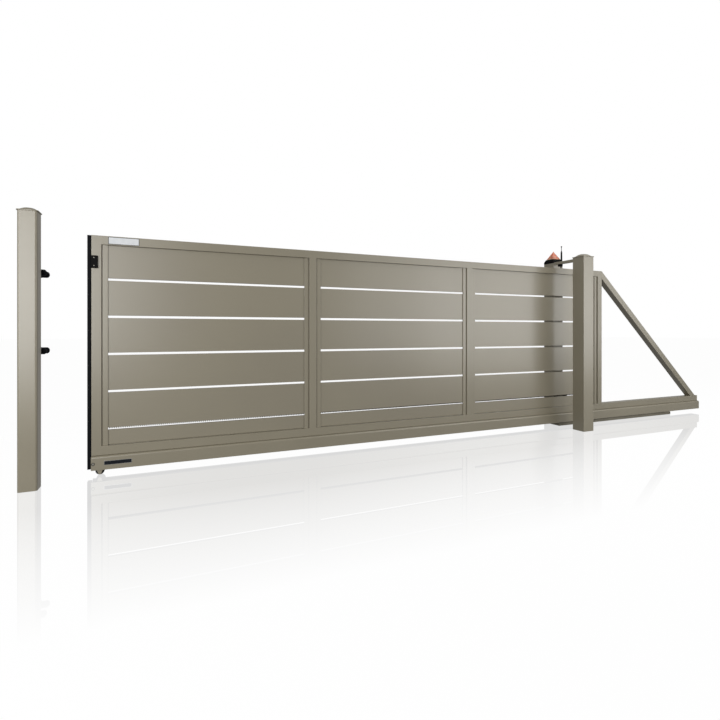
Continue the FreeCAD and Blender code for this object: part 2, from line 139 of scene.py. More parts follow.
@dataclass(frozen=True)
class Finish:
    """A surface as it was made, with its colour clouds, its grain and its edge colour, which is wear on most
    finishes and painted shadow on the silver label plate.

    Colours are sRGB hex codes. Sizes are in millimetres.
    """

    name: str
    colour: str
    cloud_colour: str
    edge_colour: str
    roughness: float
    metallic: float = 0.0
    ior: float = 1.5
    cloud_size: float = 400.0
    grain_size: float = 3.0
    grain_height: float = 0.03
    grain_stretch: float = 1.0
    edge_size: float = 1.5
    edge_amount: float = 0.35
    specular: float = 0.5
    transmission: float = 0.0
    subsurface: float = 0.0
    subsurface_reach: float = 8.0
    speck_share: float = 6.0
    roughness_swing: float = 0.02
    bump_strength: float = 0.6

    def material(self) -> bpy.types.Material:
        """Make the material, or return it where it exists already.

        Returns:
            The material.
        """
        known = bpy.data.materials.get(self.name)
        if known:
            return known
        material = bpy.data.materials.new(self.name)
        material.use_nodes = True
        tree = material.node_tree
        tree.nodes.clear()
        place = add_node(tree, "ShaderNodeTexCoord").outputs["Object"]
        specks = add_node(tree, "ShaderNodeTexNoise", {
            "Vector": place, "Scale": 1 / (self.grain_size * self.speck_share * MM), "Detail": 2.0})
        rough = add_node(tree, "ShaderNodeMapRange", {
            "Value": specks, "From Min": SPECK_SPAN[0], "From Max": SPECK_SPAN[1],
            "To Min": self.roughness - self.roughness_swing, "To Max": self.roughness + self.roughness_swing})
        stretched = add_node(tree, "ShaderNodeMapping", {
            "Vector": place, "Scale": (1.0, 1.0, self.grain_stretch)})
        grain = add_node(tree, "ShaderNodeTexNoise", {
            "Vector": stretched, "Scale": 1 / (self.grain_size * MM), "Detail": 2.0})
        bump = add_node(tree, "ShaderNodeBump", {
            "Height": grain, "Distance": self.grain_height * MM, "Strength": self.bump_strength})
        shader = add_node(tree, "ShaderNodeBsdfPrincipled", {
            "Base Color": self.edge_wear_and_shade_colour(tree, place, specks), "Roughness": rough,
            "Normal": bump, "Metallic": self.metallic, "IOR": self.ior,
            "Specular IOR Level": self.specular, "Transmission Weight": self.transmission,
            "Subsurface Weight": self.subsurface, "Subsurface Scale": self.subsurface_reach * MM})
        add_node(tree, "ShaderNodeOutputMaterial", {"Surface": shader})
        return material

    def edge_wear_and_shade_colour(self, tree: bpy.types.NodeTree, place: Socket, specks: bpy.types.Node) -> bpy.types.Node:
        """Mix the body colour with its clouds, and with the edge colour along broken edges: wear on most
        finishes, painted shadow on the silver label plate.

        Args:
            tree: The node tree.
            place: The coordinates.
            specks: Noise that breaks up the edge colour.

        Returns:
            The node that gives the colour.
        """
        clouds = add_node(tree, "ShaderNodeTexNoise", {
            "Vector": place, "Scale": 1 / (self.cloud_size * MM), "Detail": 4.0})
        share = add_node(tree, "ShaderNodeMapRange", {
            "Value": clouds, "From Min": CLOUD_SPAN[0], "From Max": CLOUD_SPAN[1]})
        body = add_node(tree, "ShaderNodeMix", {
            0: share, 6: linear(self.colour), 7: linear(self.cloud_colour)},
            data_type="RGBA")
        soft = add_node(tree, "ShaderNodeBevel", {"Radius": self.edge_size * MM}, samples=4)
        flat = add_node(tree, "ShaderNodeNewGeometry")
        turn = add_node(tree, "ShaderNodeVectorMath", {
            0: soft, 1: flat.outputs["Normal"]}, operation="DOT_PRODUCT")
        edge = add_node(tree, "ShaderNodeMapRange", {
            "Value": turn, "From Min": EDGE_SPAN[0], "From Max": EDGE_SPAN[1],
            "To Max": self.edge_amount})
        broken = add_node(tree, "ShaderNodeMapRange", {
            "Value": specks, "From Min": BREAK_SPAN[0], "From Max": BREAK_SPAN[1]})
        edge_wear_and_shade = add_node(tree, "ShaderNodeMath", {0: edge, 1: broken}, operation="MULTIPLY")
        wear_and_shade_mix = add_node(tree, "ShaderNodeMix", {
            0: edge_wear_and_shade, 6: body, 7: linear(self.edge_colour)}, data_type="RGBA")
        return wear_and_shade_mix


# Satin polyester powder coat in warm grey. Its peel's 1 mm waves are drawn 3 mm wide so that they show.
POWDER_COAT = Finish("powder_coat_warm_grey", "#8D8674", "#8A8371", "#A6A190", 0.3, grain_height=0.012,
                     specular=0.75)
# The boards carry the same powder coat, laid on wide flat faces with a slightly smoother skin.
BOARD_COAT = Finish("powder_coat_boards", "#8D8674", "#8A8372", "#A19C8B", 0.3, cloud_size=700.0,
                    grain_height=0.01, specular=0.75)
# The ground tray: the same paint with a duller skin, darkened as painted shade under the rail that overhangs
# it.
SHADED_TRAY_COAT = Finish("powder_coat_dulled", "#7E796B", "#757062", "#8F8A7B", 0.6, cloud_size=160.0, specular=0.2)
# Glass-filled polyamide, moulded: near black, with a fine matt spark-eroded grain.
MOULDED_BLACK = Finish("moulded_polyamide_black", "#070708", "#0A0A0B", "#18181A", 0.5, grain_size=1.5,
                       grain_height=0.05, cloud_size=60.0, specular=0.06)
# Extruded EPDM rubber: dull black with faint grey bloom.
EDGE_RUBBER = Finish("extruded_rubber_black", "#0D0F12", "#111316", "#1C1F23", 0.62, grain_size=2.0,
                     grain_height=0.06, cloud_size=120.0, grain_stretch=0.1, specular=0.08)
# Zinc-plated and passivated steel, gone dull: screws, pinion and carriages.
ZINC_STEEL = Finish("zinc_plated_steel", "#8E8B82", "#7F7C73", "#B4B2AA", 0.4, metallic=0.6, cloud_size=50.0,
                    grain_size=1.0, grain_height=0.02, specular=0.3)
# Hot-dip galvanised steel of the rack in a matt warm grey, darkened further as painted shade from the boards
# in front of it.
RACK_STEEL_SHADED = Finish("galvanised_rack_steel", "#5C584D", "#524E45", "#7C796E", 0.6, metallic=0.15,
                    cloud_size=40.0, grain_size=2.0, grain_height=0.05, specular=0.2)
# Turned nylon, satin black, for wheels.
WHEEL_NYLON = Finish("turned_nylon_black", "#131314", "#18181A", "#2E2E30", 0.4, cloud_size=40.0,
                     grain_size=1.0, specular=0.15)
# Mill-finish aluminium with the drawing lines of the extrusion die along Z.
MILL_ALUMINIUM = Finish("mill_aluminium", "#A9A9A7", "#9C9C9A", "#C4C4C2", 0.35, metallic=1.0,
                        cloud_size=80.0, grain_size=0.8, grain_height=0.02, grain_stretch=0.02)
# Plate left bare: brushed silver-coloured aluminium under clear lacquer. Its dark edge colour is painted
# shadow along the label's rim.
SILVER_PLATE_SHADOW_EDGED = Finish("lacquered_silver_plate", "#D8DADB", "#D0D3D5", "#6E7073", 0.45, metallic=0.1,
                      cloud_size=30.0, grain_size=0.6, grain_height=0.01, edge_amount=0.9, specular=0.25)
# Bare nameplate: glossy black acrylic. The same black paints the shadow rim behind the label plate.
BLACK_PLATE = Finish("acrylic_black_plate", "#14171C", "#191D22", "#2E3238", 0.3, cloud_size=30.0,
                     grain_size=2.0, grain_height=0.01, specular=0.15)
# Polycarbonate lens, moulded: translucent orange with soft light inside.
LENS_ORANGE = Finish("polycarbonate_orange", "#E88E6D", "#EA9A7E", "#F0B5A0", 0.28, ior=1.58, cloud_size=40.0,
                     grain_size=6.0, grain_height=0.05, transmission=0.2, subsurface=0.8,
                     subsurface_reach=30.0, edge_amount=0.5)

# Edges that turn by more than this many degrees are rounded where a piece is given an edge width.
ROUNDED_FROM = 40
# On the other pieces, edges that turn by more than this many degrees stay sharp.
SHARP_FROM = 32
# A shape that sits on another reaches this many millimetres into it.
SUNK = 0.5


def corner_box(node: str) -> tuple[Vector, Vector]:
    """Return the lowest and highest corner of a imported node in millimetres."""
    low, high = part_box(node)
    return low / MM, high / MM


def arc(centre: Point, radius: float, start: float, end: float, steps: int) -> list[Point]:
    """Return the points of an arc between two angles in degrees, with both ends."""
    angles = [math.radians(start + (end - start) * step / steps) for step in range(steps + 1)]
    return [(centre[0] + radius * math.cos(angle), centre[1] + radius * math.sin(angle)) for angle in angles]


def rounded(low: Point, high: Point, radii: Radii, steps: int = 6) -> list[Point]:
    """Outline of a rectangle with rounded corners.

    Args:
        low: Lowest corner.
        high: Highest corner.
        radii: Corner radius, or four of them anticlockwise from the lowest corner.
        steps: Steps of each arc.

    Returns:
        The outline's points, anticlockwise.
    """
    if isinstance(radii, float):
        radii = (radii,) * 4
    corners = ((low[0], low[1], 180), (high[0], low[1], 270), (high[0], high[1], 0), (low[0], high[1], 90))
    outline = []
    for (first, second, start), radius in zip(corners, radii):
        if radius <= 0:
            outline.append((first, second))
            continue
        middle = (first + (radius if first == low[0] else -radius),
                  second + (radius if second == low[1] else -radius))
        outline += arc(middle, radius, start, start + 90, steps)
    return outline


class Shape:
    """Closed meshes in millimetres, gathered for one piece."""

    def __init__(self) -> None:
        """Start with nothing."""
        self.bm = bmesh.new()

    def loft(self, rings: list[list[Point3]], endless: bool = False) -> "Shape":
        """Join rings of equal length, and close both ends or join them to each other.

        Args:
            rings: The rings' points.
            endless: Whether the last ring is joined to the first.

        Returns:
            This shape.
        """
        made = [[self.bm.verts.new(point) for point in ring] for ring in rings]
        count = len(made[0])
        for before, after in zip(made, made[1:] + made[:1] if endless else made[1:]):
            for index in range(count):
                follow = (index + 1) % count
                self.bm.faces.new((before[index], before[follow], after[follow], after[index]))
        if not endless:
            self.bm.faces.new(list(reversed(made[0])))
            self.bm.faces.new(made[-1])
        return self

    def prism(self, outline: list[Point], axis: Axis, start: float, end: float) -> "Shape":
        """Draw an outline of points across an axis out along it."""
        return self.loft([[axis.place(along, *point) for point in outline] for along in (start, end)])

    def block(self, low: Point3, high: Point3, axis: Axis = Axis.Z, radii: Radii = 0.0,
              steps: int = 6) -> "Shape":
        """Add a block between two corners, with its four edges along one axis rounded."""
        outline = rounded(axis.across(low), axis.across(high), radii, steps)
        return self.prism(outline, axis, low[axis.value], high[axis.value])

    def lathe(self, profile: list[Point], axis: Axis, centre: Point3, count: int = 40,
              bored: bool = False) -> "Shape":
        """Turn a profile about an axis.

        Args:
            profile: Pairs of the distance along the axis and the radius.
            axis: The axis.
            centre: Point on the axis from which the distances run.
            count: Steps of the turn.
            bored: Whether the profile's last point is joined to its first, for a piece with a bore.

        Returns:
            This shape.
        """
        turn = arc((0.0, 0.0), 1.0, 0, 360, count)[:-1]
        rings = []
        for along, radius in profile:
            offsets = [axis.place(along, radius * first, radius * second) for first, second in turn]
            rings.append([tuple(c + o for c, o in zip(centre, offset)) for offset in offsets])
        return self.loft(rings, bored)

    def cells(self, xs: list[float], ys: list[float], zs: list[float], filled: set[Point3]) -> "Shape":
        """Add the skin of the filled cells of a grid.

        Args:
            xs: Grid lines along X.
            ys: Grid lines along Y.
            zs: Grid lines along Z.
            filled: Index triples of the filled cells.

        Returns:
            This shape.
        """
        known = {}

        def corner(index: Point3) -> bmesh.types.BMVert:
            """Return the vertex of a grid point."""
            if index not in known:
                known[index] = self.bm.verts.new((xs[index[0]], ys[index[1]], zs[index[2]]))
            return known[index]

        for cell in sorted(filled):
            for axis in range(3):
                for side in (0, 1):
                    beside = list(cell)
                    beside[axis] += 1 if side else -1
                    if tuple(beside) in filled:
                        continue
                    quad = []
                    for first, second in ((0, 0), (1, 0), (1, 1), (0, 1)):
                        index = list(cell)
                        index[axis] += side
                        index[(axis + 1) % 3] += first
                        index[(axis + 2) % 3] += second
                        quad.append(corner(tuple(index)))
                    self.bm.faces.new(quad if side else list(reversed(quad)))
        return self

    def pillow(self, low: Point3, high: Point3, sharpness: float, count: int = 28) -> "Shape":
        """Add a square cushion-like crown with a flat underside.

        Args:
            low: Lowest corner.
            high: Highest corner.
            sharpness: How fast the crown falls off to its sides.
            count: Steps along each side.

        Returns:
            This shape.
        """
        rows = []
        for row in range(count + 1):
            line = []
            for column in range(count + 1):
                u, v = 2 * column / count - 1, 2 * row / count - 1
                rise = 1 - (1 - ((1 - u * u) * (1 - v * v)) ** sharpness) ** 2
                line.append(self.bm.verts.new((low[0] + (high[0] - low[0]) * (u + 1) / 2,
                                               low[1] + (high[1] - low[1]) * (v + 1) / 2,
                                               low[2] + (high[2] - low[2]) * rise)))
            rows.append(line)
        for row in range(count):
            for column in range(count):
                self.bm.faces.new((rows[row][column], rows[row][column + 1],
                                   rows[row + 1][column + 1], rows[row + 1][column]))
        right, left = [line[-1] for line in rows[1:-1]], [line[0] for line in rows[-2:0:-1]]
        self.bm.faces.new(list(reversed(rows[0] + right + rows[-1][::-1] + left)))
        return self

    def mesh(self) -> Mesh:
        """Turn the gathered shapes into a mesh in metres.

        Returns:
            The mesh.
        """
        bmesh.ops.recalc_face_normals(self.bm, faces=self.bm.faces)
        bmesh.ops.scale(self.bm, vec=(MM, MM, MM), verts=self.bm.verts)
        mesh = bpy.data.meshes.new("shape")
        self.bm.to_mesh(mesh)
        self.bm.free()
        return mesh


def placed(name: str, data: bpy.types.ID) -> bpy.types.Object:
    """Make an object and link it to the scene.

    Args:
        name: Name of the object.
        data: Its mesh, light or camera.

    Returns:
        The object.
    """
    obj = bpy.data.objects.new(name, data)
    bpy.context.scene.collection.objects.link(obj)
    return obj


def baked(obj: bpy.types.Object, helper: bpy.types.Object) -> Mesh:
    """Take the mesh that an object's modifier makes, and remove both objects.

    Args:
        obj: The object with the modifier.
        helper: The object that the modifier uses.

    Returns:
        The mesh.
    """
    mesh = bpy.data.meshes.new_from_object(obj.evaluated_get(bpy.context.evaluated_depsgraph_get()))
    for spent in (obj, helper):
        bpy.data.objects.remove(spent)
    return mesh


def carved(body: Mesh, tool: Mesh) -> Mesh:
    """Take one mesh away from another.

    Args:
        body: The mesh to cut.
        tool: The mesh that is taken away.

    Returns:
        The cut mesh.
    """
    cut = placed("cut", body)
    cutter = placed("cutter", tool)
    modifier = cut.modifiers.new("cut", "BOOLEAN")
    modifier.object = cutter
    modifier.operation = "DIFFERENCE"
    modifier.solver = "EXACT"
    return baked(cut, cutter)


class Row:
    """Copies of a template at even steps, made by a Geometry Nodes tree."""

    def __init__(self) -> None:
        """Build the tree with its named inputs."""
        tree = bpy.data.node_groups.new("row_of_copies", "GeometryNodeTree")
        face = tree.interface
        face.new_socket("Geometry", in_out="OUTPUT", socket_type="NodeSocketGeometry")
        kinds = {"Template": "NodeSocketObject", "Count": "NodeSocketInt", "Start": "NodeSocketVector",
                 "Step": "NodeSocketVector", "Finish": "NodeSocketMaterial"}
        self.keys = {name: face.new_socket(name, in_out="INPUT", socket_type=kind).identifier
                     for name, kind in kinds.items()}
        given = add_node(tree, "NodeGroupInput").outputs
        line = add_node(tree, "GeometryNodeMeshLine", {
            "Count": given["Count"], "Start Location": given["Start"], "Offset": given["Step"]})
        template = add_node(tree, "GeometryNodeObjectInfo", {"Object": given["Template"]})
        copies = add_node(tree, "GeometryNodeInstanceOnPoints", {
            "Points": line, "Instance": template.outputs["Geometry"]})
        real = add_node(tree, "GeometryNodeRealizeInstances", {"Geometry": copies})
        dressed = add_node(tree, "GeometryNodeSetMaterial", {
            "Geometry": real, "Material": given["Finish"]})
        add_node(tree, "NodeGroupOutput", {"Geometry": dressed})
        self.tree = tree

    def copies(self, template: Mesh, count: int, start: Point3, step: Point3, finish: Finish) -> Mesh:
        """Repeat a template.

        Args:
            template: The mesh to repeat, in metres about the origin.
            count: Number of copies.
            start: Place of the first copy in millimetres.
            step: Step between copies in millimetres.
            finish: Finish of the copies.

        Returns:
            One plain mesh of all copies.
        """
        holder = placed("holder", bpy.data.meshes.new("holder"))
        pattern = placed("pattern", template)
        modifier = holder.modifiers.new("row", "NODES")
        modifier.node_group = self.tree
        given = {"Template": pattern, "Count": count, "Start": Vector(start) * MM, "Step": Vector(step) * MM,
                 "Finish": finish.material()}
        for name, value in given.items():
            modifier[self.keys[name]] = value
        return baked(holder, pattern)


ROW = Row()


def joined(first: Mesh, *others: Mesh) -> Mesh:
    """Join meshes into the first.

    Args:
        first: Mesh that takes the others.
        *others: The other meshes.

    Returns:
        The first mesh.
    """
    bm = bmesh.new()
    for mesh in (first, *others):
        bm.from_mesh(mesh)
    bm.to_mesh(first)
    bm.free()
    return first


@dataclass
class SubAssembly:
    """A group of pieces on one body."""

    body: str

    def add(self, name: str, mesh: Mesh, finish: Finish, slot: Slot, nodes: tuple[str, ...] = (),
            edge: float = 0.0, steps: int = 2) -> None:
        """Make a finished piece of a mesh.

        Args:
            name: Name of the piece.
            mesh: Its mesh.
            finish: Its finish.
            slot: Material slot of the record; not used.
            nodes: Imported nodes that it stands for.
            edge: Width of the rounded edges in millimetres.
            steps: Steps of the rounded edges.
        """
        mesh.name = name
        mesh.materials.clear()
        mesh.materials.append(finish.material())
        mesh.polygons.foreach_set("use_smooth", [True] * len(mesh.polygons))
        mesh.polygons.foreach_set("material_index", [0] * len(mesh.polygons))
        piece = placed(name, mesh)
        if edge:
            bevel = piece.modifiers.new("rounded_edges", "BEVEL")
            bevel.width = edge * MM
            bevel.segments = steps
            bevel.limit_method = "ANGLE"
            bevel.angle_limit = math.radians(ROUNDED_FROM)
        else:
            mesh.set_sharp_from_angle(angle=math.radians(SHARP_FROM))
        even = piece.modifiers.new("even_shading", "WEIGHTED_NORMAL")
        even.keep_sharp = True
        if nodes:
            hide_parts(*nodes)
        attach(piece, self.body)
        LOG.info("%s on %s, %d faces", name, self.body, len(mesh.polygons))

    def add_plate(self, front: float, corners: tuple[Point, Point], radius: float,
                  layers: tuple[tuple[str, float, float, Finish, Slot], ...]) -> None:
        """Add a bare plate and the larger one behind it, on a face that looks to the front.

        Args:
            front: Place of the face along Y.
            corners: The bare plate's lowest and highest corner in X and Z.
            radius: Radius of its corners.
            layers: Each plate's name, extra size, height, finish and slot.
        """
        (left, foot), (right, head) = corners
        edge = 0.3
        for name, extra, height, finish, slot in layers:
            shape = Shape().block((left - extra, front - height, foot - extra),
                                  (right + extra, front + SUNK, head + extra), Axis.Y, radius, 4)
            self.add(name, shape.mesh(), finish, slot, (), edge)


@dataclass
class SquarePost(SubAssembly):
    """A square tube post, with a cap where it has one."""

    node: str
    edge_radius: float = 3.0
    cap_node: str = ""
    crown_drop: float = 1.0
    rim: float = 5.0
    rim_rounding: float = 2.0
    crown_inset: float = 4.0
    crown_sharpness: float = 1.3
    cap_edge: float = 1.2

    def build(self) -> None:
        """Build the shaft and the cap."""
        shaft = Shape().block(*corner_box(self.node), Axis.Z, self.edge_radius, 8)
        self.add(self.node + "_shaft", shaft.mesh(), POWDER_COAT, Slot.PAINT, (self.node,))
        if self.cap_node:
            self.build_cap()

    def build_cap(self) -> None:
        """Build the lipped rim and the cushioned crown."""
        low, high = corner_box(self.cap_node)
        level, inset = low[2] + self.rim, self.crown_inset
        shape = Shape().block(low, (high[0], high[1], level), Axis.Z, self.edge_radius + self.rim_rounding)
        shape.pillow((low[0] + inset, low[1] + inset, level - SUNK),
                     (high[0] - inset, high[1] - inset, high[2] - self.crown_drop), self.crown_sharpness)
        self.add(self.cap_node + "_crown", shape.mesh(), POWDER_COAT, Slot.PAINT, (self.cap_node,),
                 self.cap_edge)


@dataclass
class Block(SubAssembly):
    """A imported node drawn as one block, with rounded edges along an axis or all round."""

    node: str
    name: str
    finish: Finish = POWDER_COAT
    slot: Slot = Slot.PAINT
    axis: Axis = Axis.Z
    radii: Radii = 0.0
    arc_steps: int = 6
    edge: float = 0.0
    edge_steps: int = 2

    def build(self) -> None:
        """Build the block."""
        shape = Shape().block(*corner_box(self.node), self.axis, self.radii, self.arc_steps)
        self.add(self.name, shape.mesh(), self.finish, self.slot, (self.node,), self.edge, self.edge_steps)


@dataclass
class Drive(SubAssembly):
    """The drive housing in front of the rear post."""

    corner: float = 10.0
    cover_corner: float = 5.0
    cover_margin: float = 9.0
    cover_height: float = 3.0
    edge: float = 1.0

    def build(self) -> None:
        """Build the housing with its raised cover."""
        low, high = corner_box("drive_housing")
        seam, margin = low[1] + self.cover_height, self.cover_margin
        shape = Shape().block((low[0], seam, low[2]), high, Axis.Y, self.corner)
        shape.block((low[0] + margin, low[1], low[2] + margin),
                    (high[0] - margin, seam + SUNK, high[2] - margin), Axis.Y, self.cover_corner)
        self.add("drive_cover", shape.mesh(), MOULDED_BLACK, Slot.PLASTIC, ("drive_housing",), self.edge)


@dataclass
class Lamp(SubAssembly):
    """The flashing lamp and its antenna on the rear post.

    The base's steps are pairs of a height and an inset. Those of the foot are counted from the base's
    lowest corner, and those of the shoulder from its top and from the lens. The sleeve's are pairs of a
    height and a radius.
    """

    foot_steps: tuple[Point, ...] = ((-7.0, -3.0), (1.0, -4.0), (10.0, -4.0))
    shoulder_steps: tuple[Point, ...] = ((-4.0, -4.0), (-1.5, -2.0), (0.0, 0.0))
    base_corner: float = 6.0
    lens_steps: int = 15
    lens_taper: float = 0.98
    lens_tip: float = 2.5
    lens_corner: float = 7.0
    least_corner: float = 1.5
    ledge: float = 0.8
    ledge_rise: float = 0.25
    sleeve: tuple[Point, ...] = (
        (0.0, 8.6), (20.0, 8.6), (21.0, 8.2), (96.0, 7.4), (104.0, 5.0), (105.0, 2.8))
    whip_radius: float = 2.8
    ball: float = 6.5
    antenna_shift: float = -3.0

    def build(self) -> None:
        """Build the base, the lens and the antenna."""
        self.build_base()
        self.build_lens()
        self.build_antenna()

    def build_base(self) -> None:
        """Build the base with its tapered shoulder, flush at the back."""
        low, high = corner_box("lamp_base")
        lens_low, _ = corner_box("lamp_lens")
        steps = [(low[2] + rise, inset) for rise, inset in self.foot_steps]
        steps += [(high[2] + rise, lens_low[0] - low[0] + inset) for rise, inset in self.shoulder_steps]
        rings = []
        for level, inset in steps:
            outline = rounded((low[0] + inset, low[1] + inset), (high[0] - inset, high[1] - max(inset, 0.0)),
                              self.base_corner, 5)
            rings.append([(x, y, level) for x, y in outline])
        self.add("lamp_foot", Shape().loft(rings).mesh(), MOULDED_BLACK, Slot.PLASTIC, ("lamp_base",))

    def build_lens(self) -> None:
        """Build the pyramid lens with rounded edges and moulded ledges."""
        low, high = corner_box("lamp_lens")
        middle = ((low[0] + high[0]) / 2, (low[1] + high[1]) / 2)
        half, tall = (high[0] - low[0]) / 2, high[2] - low[2]
        rings = []
        for step in range(self.lens_steps + 1):
            share, next_share = step / self.lens_steps, (step + self.ledge_rise) / self.lens_steps
            reach = max(half * (1 - share) ** self.lens_taper, self.lens_tip)
            radius = self.lens_corner * (1 - share) + self.least_corner
            for level, size in ((share, reach), (next_share, reach - self.ledge)):
                if level > 1 or size < self.least_corner:
                    continue
                outline = rounded((middle[0] - size, middle[1] - size), (middle[0] + size, middle[1] + size),
                                  min(radius, size * 0.9), 4)
                rings.append([(x, y, low[2] + tall * level) for x, y in outline])
        self.add("lamp_pyramid", Shape().loft(rings).mesh(), LENS_ORANGE, Slot.LENS, ("lamp_lens",))

    def build_antenna(self) -> None:
        """Build the sleeve, the whip and its ball."""
        low, high = corner_box("antenna")
        centre = ((low[0] + high[0]) / 2 + self.antenna_shift, (low[1] + high[1]) / 2, low[2])
        tall, ball, overlap = high[2] - low[2], self.ball, 0.4
        profile = [*self.sleeve, (tall - 2 * ball + overlap, self.whip_radius)]
        profile += arc((tall - ball, 0.0), ball, 160, 20, 7)
        self.add("antenna_whip", Shape().lathe(profile, Axis.Z, centre, 24).mesh(), MOULDED_BLACK,
                 Slot.PLASTIC, ("antenna",))


@dataclass
class CatchFork(SubAssembly):
    """An arm with two round-nosed prongs behind the catch post.

    The collar's steps are pairs of a distance and a depth, and each prong has its place and its tip.
    """

    node: str
    arm_width: float = 48.0
    prong_radius: float = 19.0
    prongs: tuple[Point, ...] = ((190.0, -4110.0), (300.0, -4118.0))
    collar: tuple[Point, ...] = ((0.0, 0.0), (20.0, 0.0), (21.5, 1.5), (24.0, 1.5), (25.5, 0.0))
    nose_share: float = 0.8
    nose_tip: float = 0.6
    edge: float = 2.0

    def build(self) -> None:
        """Build the fork as one moulding."""
        low, high = corner_box(self.node)
        shape = Shape().block(low, (low[0] + self.arm_width, high[1], high[2]))
        radius = self.prong_radius
        for place, tip in self.prongs:
            profile = [(along, radius - depth) for along, depth in self.collar]
            for across, forward in arc((0.0, 0.0), 1.0, 0, 90, 8):
                profile.append((tip - low[0] - radius * self.nose_share * (1 - forward),
                                max(radius * across, self.nose_tip)))
            shape.lathe(profile, Axis.X, (low[0], place, (low[2] + high[2]) / 2))
        self.add(self.node + "_moulding", shape.mesh(), EDGE_RUBBER, Slot.PLASTIC, (self.node,), self.edge)


@dataclass
class LeafFrame(SubAssembly):
    """The welded frame of the leaf with its tail."""

    edge: float = 1.6
    lip: float = 15.0
    foot_cut: Point = (4.0, 3.4)
    stiles: tuple[str, ...] = ("leading_stile", "mid_stile_1", "mid_stile_2", "end_stile")

    def build(self) -> None:
        """Build the frame and the brace."""
        self.build_frame()
        self.build_brace()

    def build_frame(self) -> None:
        """Build rails and stiles as one welded frame, grooved along its top and cut back at its foot."""
        bottom_low, bottom_high = corner_box("bottom_rail")
        top_low, _ = corner_box("top_rail")
        lip_low, lip_high = corner_box("top_rail_guides")
        xs = []
        for stile in self.stiles:
            low, high = corner_box(stile)
            xs += [low[0], high[0]]
        xs.append(bottom_high[0])
        front, back = bottom_low[1], bottom_high[1]
        ys = [front, front + self.foot_cut[0], front + self.lip, back - self.lip, back]
        foot = bottom_low[2]
        zs = [foot, foot + self.foot_cut[1], bottom_high[2], top_low[2], lip_low[2], lip_high[2]]
        filled = set()
        for column in range(len(xs) - 1):
            on_leaf = column < len(xs) - 2
            on_stile = on_leaf and column % 2 == 0
            for row in range(len(ys) - 1):
                levels = (row > 0, True, on_stile, on_leaf, on_leaf and row != 2)
                filled |= {(column, row, level) for level, solid in enumerate(levels) if solid}
        self.add("leaf_frame", Shape().cells(xs, ys, zs, filled).mesh(), POWDER_COAT, Slot.PAINT,
                 ("bottom_rail", "top_rail", "top_rail_guides", *self.stiles), self.edge, 3)

    def build_brace(self) -> None:
        """Build the sloping brace of the tail, as thick as the end stile is wide."""
        low, high = corner_box("brace")
        stile_low, stile_high = corner_box("end_stile")
        face = stile_high[0] - stile_low[0]
        angle = math.atan2(high[2] - low[2], high[0] - low[0])
        outline = [(low[0], high[2]), (low[0], high[2] - face / math.cos(angle)),
                   (high[0] - face / math.sin(angle), low[2]), (high[0], low[2])]
        self.add("tail_brace", Shape().prism(outline, Axis.Y, low[1], high[1]).mesh(), POWDER_COAT,
                 Slot.PAINT, ("brace",), self.edge, 3)


@dataclass
class Infill(SubAssembly):
    """The flat boards of one bay and the beads that hold them."""

    node: str
    bead_width: float = 35.0
    bead_thickness: float = 7.0
    bead_edge: float = 1.2
    bead_groove: float = 3.8
    groove_depth: float = 3.3
    board_height: float = 219.0
    board_gap: float = 15.0
    board_edge: float = 1.5
    lowest_board: float = 94.5
    board_setback: float = 6.5
    board_depth: float = 20.0
    end_play: float = 1.0
    foot_gap: float = 5.0
    foot_depth: float = 8.0
    foot_edge: float = 1.0
    lowest_lift: float = 0.2

    def build(self) -> None:
        """Build the boards and the two beads."""
        low, high = corner_box(self.node)
        self.build_boards(low, high)
        beads = Shape()
        for edge, turn in ((low[0], 1), (high[0], -1)):
            outline = [(edge + turn * x, low[1] + y) for x, y in (
                (self.bead_groove, 0.0), (self.bead_width, 0.0), (self.bead_width, self.bead_thickness),
                (0.0, self.bead_thickness), (0.0, self.groove_depth), (self.bead_groove, self.groove_depth))]
            beads.prism(outline, Axis.Z, low[2], high[2])
        self.add(self.node + "_beads", beads.mesh(), POWDER_COAT, Slot.PAINT, (), self.bead_edge)

    def build_boards(self, low: Vector, high: Vector) -> None:
        """Build the boards of full height in a row, and the lowest and highest board.

        Args:
            low: Lowest corner of the bay.
            high: Highest corner of the bay.
        """
        left, right = low[0] + self.end_play, high[0] - self.end_play
        front = low[1] + self.board_setback
        back, half = front + self.board_depth, (right - left) / 2
        pattern = Shape().block((-half, 0.0, 0.0), (half, self.board_depth, self.board_height), Axis.X,
                                self.board_edge, 3)
        first = low[2] + self.lowest_board + self.board_gap
        pitch = self.board_height + self.board_gap
        count = int((high[2] - first) // pitch)
        boards = ROW.copies(pattern.mesh(), count, (left + half, front, first), (0, 0, pitch), BOARD_COAT)
        foot, head = low[2] + self.foot_gap, low[2] + self.lowest_board + self.lowest_lift
        radii = (self.foot_edge, 0.0, self.board_edge, self.board_edge)
        lowest = rounded((front, foot), (back, head), radii, 3)
        split, step = lowest.index((back, foot)), front + self.foot_depth
        lowest[split:split + 1] = [(step, foot), (step, low[2]), (back, low[2])]
        ends = Shape().prism(lowest, Axis.X, left, right)
        ends.block((left, front, first + count * pitch), (right, back, high[2]), Axis.X, self.board_edge, 3)
        self.add(self.node + "_boards", joined(boards, ends.mesh()), BOARD_COAT, Slot.PAINT, (self.node,))


